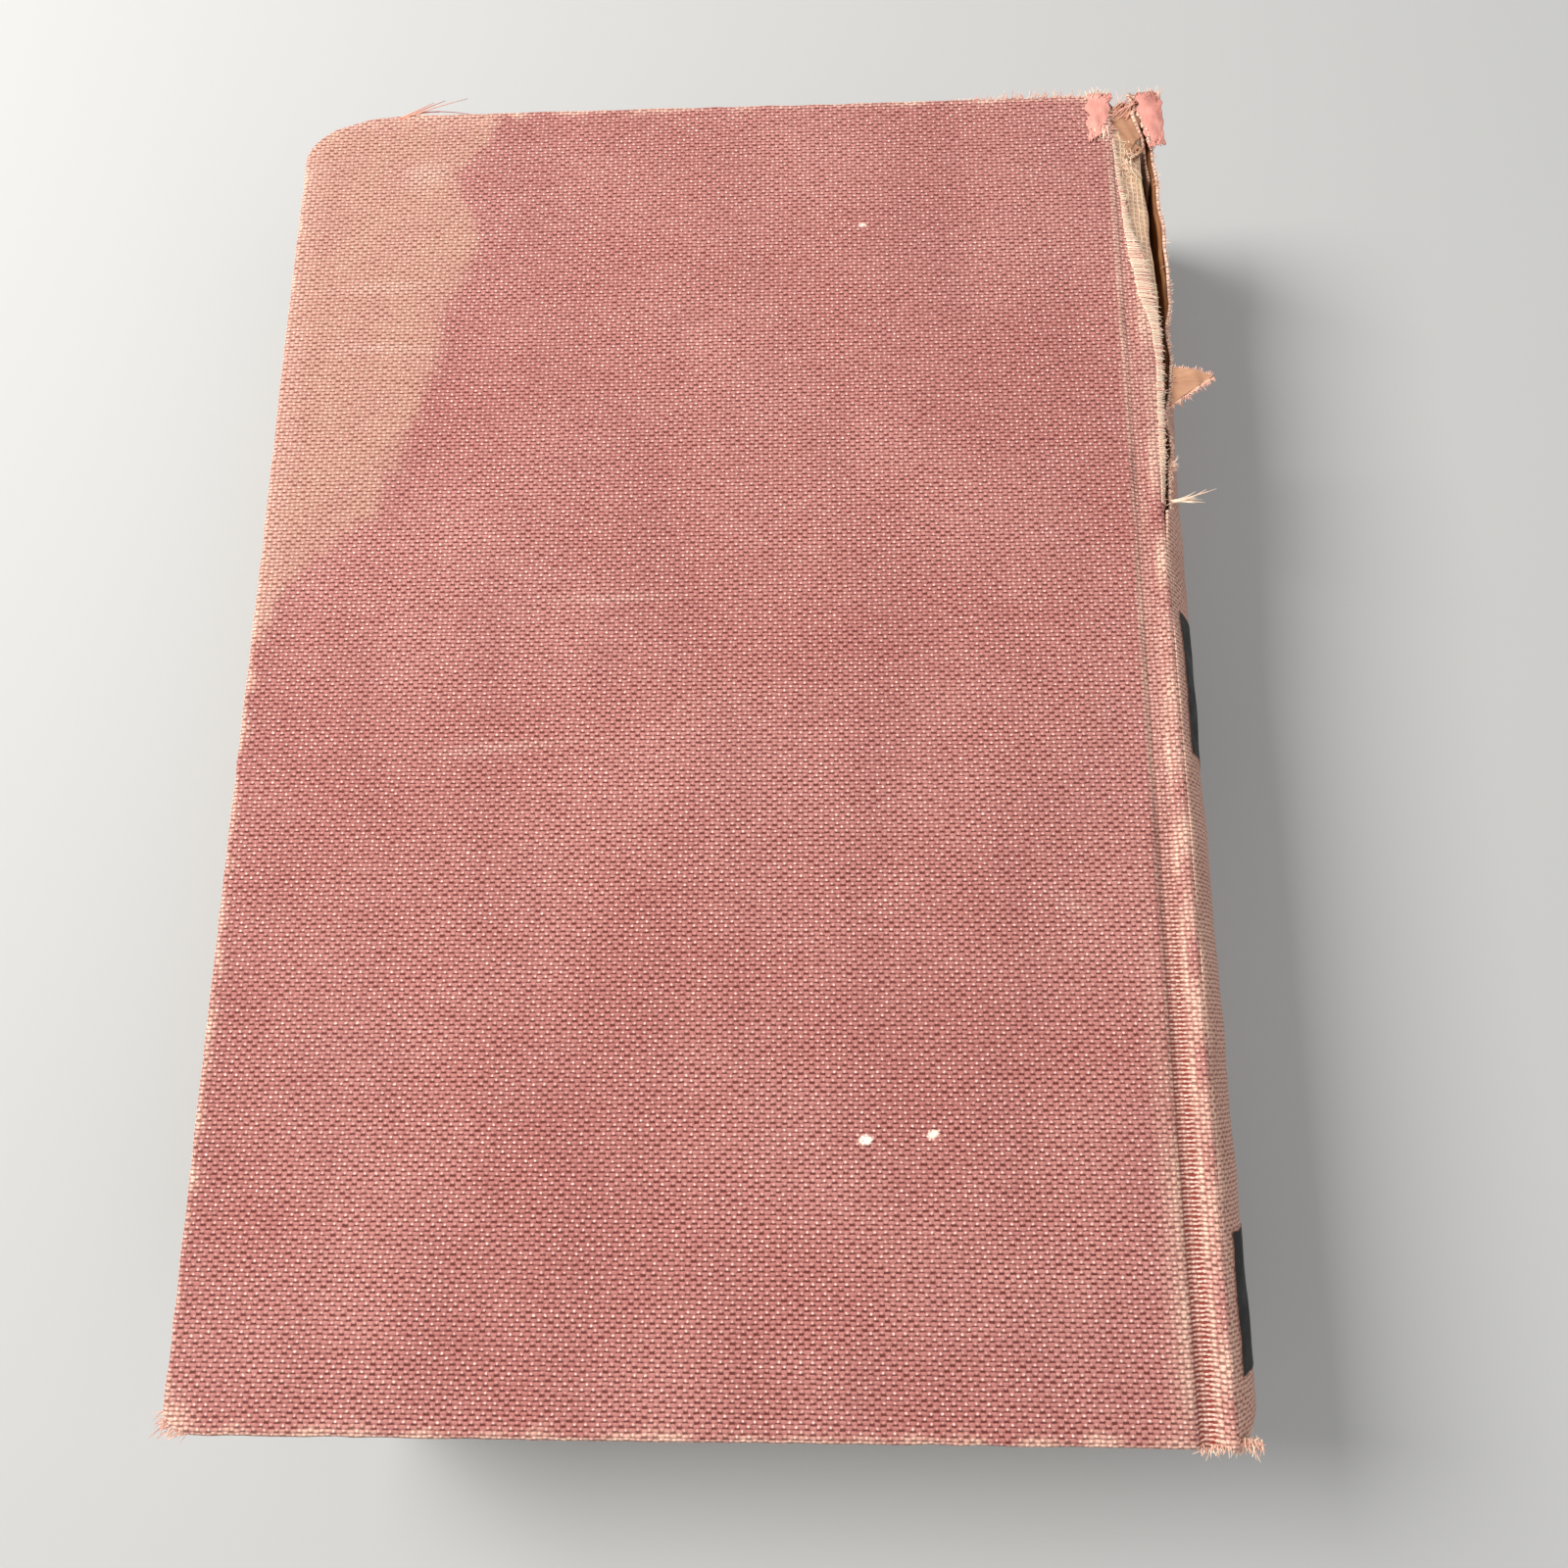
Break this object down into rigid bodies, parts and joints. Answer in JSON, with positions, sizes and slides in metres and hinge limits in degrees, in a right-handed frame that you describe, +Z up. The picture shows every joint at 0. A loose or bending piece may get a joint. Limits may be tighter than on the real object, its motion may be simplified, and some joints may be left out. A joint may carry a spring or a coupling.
{
  "type": "prayer book",
  "caption": "Thick closed hardback prayer book in worn brick-red woven cloth, its spine edge split at the head, with black spine labels and covers that open.",
  "frame": {"origin": "under the middle of the shut book, on the surface that it lies on", "axes": "+Y from tail to head, along the spine; +X from the fore-edge to the spine; +Z up, from the lower cover to the upper cover"},
  "size_m": [0.1542, 0.216, 0.037],
  "materials": {
    "bookcloth": "worn, faded plain-weave bookbinding cloth, matt with a faint starch sheen",
    "board": "grey-brown pressed binder's board",
    "endpaper": "aged cream endpaper, uncoated",
    "leaf_paper": "aged cream book paper, edges toned",
    "kraft": "brown kraft paper strip, dry and cracked",
    "mull": "open gauze stiffened with old glue",
    "lining_paper": "brown lining paper under old glue",
    "thread": "waxed linen sewing thread",
    "headband": "striped cotton over a rolled core",
    "label": "thin black label, rubbed at the edges"
  },
  "bodies": {
    "block": {"back_flyleaf": "endpaper", "foot_panel": "label", "head_band": "headband", "mull": "mull", "section_01": "leaf_paper", "section_02": "leaf_paper", "section_03": "leaf_paper", "section_04": "leaf_paper", "section_05": "leaf_paper", "section_06": "leaf_paper", "section_07": "leaf_paper", "section_08": "leaf_paper", "section_09": "leaf_paper", "section_10": "leaf_paper", "section_11": "leaf_paper", "section_12": "leaf_paper", "section_13": "leaf_paper", "section_14": "leaf_paper", "sewing_threads": "thread", "spine_cloth": "bookcloth", "spine_inlay": "kraft", "spine_lining": "lining_paper", "tail_band": "headband", "title_panel": "label", "upper_section_folds": "leaf_paper"},
    "upper_cover": {"upper_board": "board", "upper_cover_cloth": "bookcloth", "upper_pastedown": "endpaper"},
    "lower_cover": {"lower_board": "board", "lower_cover_cloth": "bookcloth", "lower_pastedown": "endpaper"},
    "front_leaf": {"front_flyleaf": "endpaper"},
    "leaves_15": {"section_15_leaves": "leaf_paper"},
    "leaves_16": {"section_16_leaves": "leaf_paper"},
    "leaves_17": {"section_17_leaves": "leaf_paper"},
    "leaves_18": {"section_18_leaves": "leaf_paper"},
    "leaves_19": {"section_19_leaves": "leaf_paper"},
    "leaves_20": {"section_20_leaves": "leaf_paper"}
  },
  "joints": [
    {"name": "upper_cover_hinge", "type": "hinge", "parent": "block", "child": "upper_cover", "pos_m": [0.06619, 0, 0.037], "axis": [0, 1, 0], "range_deg": [0, 180]},
    {"name": "lower_cover_hinge", "type": "hinge", "parent": "block", "child": "lower_cover", "pos_m": [0.06619, 0, 0], "axis": [0, -1, 0], "range_deg": [0, 180]},
    {"name": "front_flyleaf_turn", "type": "hinge", "parent": "block", "child": "front_leaf", "pos_m": [0.06566, 0, 0.0337], "axis": [0, 1, 0], "range_deg": [0, 104.4]},
    {"name": "section_15_turn", "type": "hinge", "parent": "block", "child": "leaves_15", "pos_m": [0.06566, 0, 0.02595], "axis": [0, 1, 0], "range_deg": [0, 16.2]},
    {"name": "section_16_turn", "type": "hinge", "parent": "block", "child": "leaves_16", "pos_m": [0.06566, 0, 0.02745], "axis": [0, 1, 0], "range_deg": [0, 32.4]},
    {"name": "section_17_turn", "type": "hinge", "parent": "block", "child": "leaves_17", "pos_m": [0.06566, 0, 0.02894], "axis": [0, 1, 0], "range_deg": [0, 48.6]},
    {"name": "section_18_turn", "type": "hinge", "parent": "block", "child": "leaves_18", "pos_m": [0.06566, 0, 0.03044], "axis": [0, 1, 0], "range_deg": [0, 64.8]},
    {"name": "section_19_turn", "type": "hinge", "parent": "block", "child": "leaves_19", "pos_m": [0.06566, 0, 0.03193], "axis": [0, 1, 0], "range_deg": [0, 81]},
    {"name": "section_20_turn", "type": "hinge", "parent": "block", "child": "leaves_20", "pos_m": [0.06566, 0, 0.03343], "axis": [0, 1, 0], "range_deg": [0, 97.2]}
  ],
  "couplings": [
    {"joint": "front_flyleaf_turn", "follows": "upper_cover_hinge", "ratio": 0.58},
    {"joint": "section_15_turn", "follows": "upper_cover_hinge", "ratio": 0.09},
    {"joint": "section_16_turn", "follows": "upper_cover_hinge", "ratio": 0.18},
    {"joint": "section_17_turn", "follows": "upper_cover_hinge", "ratio": 0.27},
    {"joint": "section_18_turn", "follows": "upper_cover_hinge", "ratio": 0.36},
    {"joint": "section_19_turn", "follows": "upper_cover_hinge", "ratio": 0.45},
    {"joint": "section_20_turn", "follows": "upper_cover_hinge", "ratio": 0.54}
  ]
}
